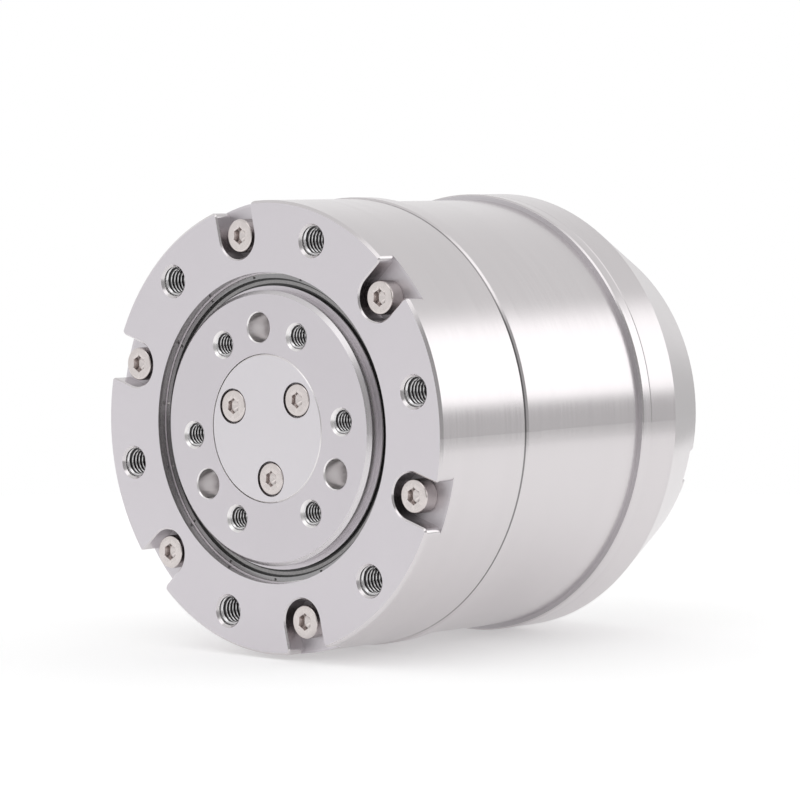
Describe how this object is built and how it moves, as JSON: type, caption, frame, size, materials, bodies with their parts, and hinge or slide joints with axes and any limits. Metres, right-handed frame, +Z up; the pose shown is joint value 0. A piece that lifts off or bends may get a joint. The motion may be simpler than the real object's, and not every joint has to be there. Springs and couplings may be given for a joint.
{
  "type": "robot joint actuator",
  "caption": "Round planetary servo actuator for a robot joint: waisted aluminium housing, front mounting ring with threads, turning output flange with threads and dowel holes, rear connectors.",
  "frame": {"origin": "centre of the housing's front mounting face, on the axis of rotation", "axes": "-Y out of the output flange, +Y towards the rear connectors, +Z up as it lies on its side"},
  "size_m": [0.0776, 0.0779, 0.0774],
  "materials": {
    "housing_aluminium": "fine bead-blasted face, turned cylinder",
    "waist_aluminium": "fine turned",
    "cap_aluminium": "fine turned",
    "flange_aluminium": "fine bead-blasted face with a turned edge",
    "cover_aluminium": "fine bead-blasted",
    "plate_aluminium": "as machined",
    "seal_rubber": "moulded",
    "screw_steel": "polished stainless",
    "bearing_steel": "ground",
    "spring_steel": "oiled",
    "gear_steel": "ground flanks",
    "bush_bronze": "sintered bronze",
    "core_steel": "stacked laminations",
    "winding_copper": "enamelled copper wire",
    "magnet_nickel": "nickel plated",
    "board_green": "solder mask",
    "chip_black": "moulded",
    "connector_yellow": "moulded nylon",
    "connector_white": "moulded nylon",
    "contact_gold": "gold plated",
    "standoff_brass": "turned"
  },
  "bodies": {
    "housing": {"gear_housing": "housing_aluminium", "housing_screws": "screw_steel", "motor_housing": "waist_aluminium", "rear_cap": "cap_aluminium", "rear_cover": "plate_aluminium", "rear_cover_screws": "screw_steel", "rear_plate": "plate_aluminium", "rear_plate_screws": "screw_steel", "ring_gear": "gear_steel", "output_bearing_outer_ring": "bearing_steel", "output_bearing_seal": "seal_rubber", "bearing_retaining_ring": "spring_steel", "carrier_bearing_outer_ring": "bearing_steel", "motor_front_bearing_outer_ring": "bearing_steel", "motor_rear_bearing_outer_ring": "bearing_steel", "stator_core": "core_steel", "stator_coils": "winding_copper", "phase_leads": "winding_copper", "board_spacers": "standoff_brass", "cover_standoffs": "standoff_brass", "driver_board": "board_green", "driver_components": "chip_black", "encoder_chip": "chip_black", "power_connector": "connector_yellow", "power_connector_contacts": "contact_gold", "signal_connector": "connector_white", "signal_connector_contacts": "contact_gold"},
    "output": {"output_flange": "flange_aluminium", "cover_plate": "cover_aluminium", "cover_plate_screws": "screw_steel", "bearing_snap_ring": "spring_steel", "output_bearing_inner_ring": "bearing_steel", "planet_pins": "gear_steel", "planet_thrust_washers": "bush_bronze", "carrier_plate": "plate_aluminium", "carrier_screws": "screw_steel", "carrier_bearing_inner_ring": "bearing_steel", "nose_bearing_outer_ring": "bearing_steel"},
    "rotor": {"sun_shaft": "gear_steel", "nose_bearing_inner_ring": "bearing_steel", "motor_front_bearing_inner_ring": "bearing_steel", "motor_rear_bearing_inner_ring": "bearing_steel", "rotor_hub": "plate_aluminium", "rotor_yoke": "core_steel", "rotor_magnets": "magnet_nickel", "encoder_magnet": "magnet_nickel"},
    "bearing_cage": {"output_bearing_rollers": "bearing_steel", "output_bearing_cage": "bush_bronze"},
    "planet_1": {"planet_gear_1": "gear_steel", "planet_bush_1": "bush_bronze"},
    "planet_2": {"planet_gear_2": "gear_steel", "planet_bush_2": "bush_bronze"},
    "planet_3": {"planet_gear_3": "gear_steel", "planet_bush_3": "bush_bronze"}
  },
  "joints": [
    {"name": "output_spin", "type": "hinge", "parent": "housing", "child": "output", "pos_m": [0, 0, 0], "axis": [0, 1, 0], "continuous": true},
    {"name": "rotor_spin", "type": "hinge", "parent": "housing", "child": "rotor", "pos_m": [0, 0.03, 0], "axis": [0, 1, 0], "continuous": true},
    {"name": "bearing_cage_spin", "type": "hinge", "parent": "housing", "child": "bearing_cage", "pos_m": [0, 0.0057, 0], "axis": [0, 1, 0], "continuous": true},
    {"name": "planet_1_spin", "type": "hinge", "parent": "output", "child": "planet_1", "pos_m": [0.00579, 0.015, 0.01319], "axis": [0, 1, 0], "continuous": true},
    {"name": "planet_2_spin", "type": "hinge", "parent": "output", "child": "planet_2", "pos_m": [0.00852, 0.015, -0.01161], "axis": [0, 1, 0], "continuous": true},
    {"name": "planet_3_spin", "type": "hinge", "parent": "output", "child": "planet_3", "pos_m": [-0.01431, 0.015, -0.00158], "axis": [0, 1, 0], "continuous": true}
  ],
  "couplings": [
    {"joint": "rotor_spin", "follows": "output_spin", "ratio": 6},
    {"joint": "bearing_cage_spin", "follows": "output_spin", "ratio": 0.47694},
    {"joint": "planet_1_spin", "follows": "output_spin", "ratio": -2.5},
    {"joint": "planet_2_spin", "follows": "output_spin", "ratio": -2.5},
    {"joint": "planet_3_spin", "follows": "output_spin", "ratio": -2.5}
  ]
}
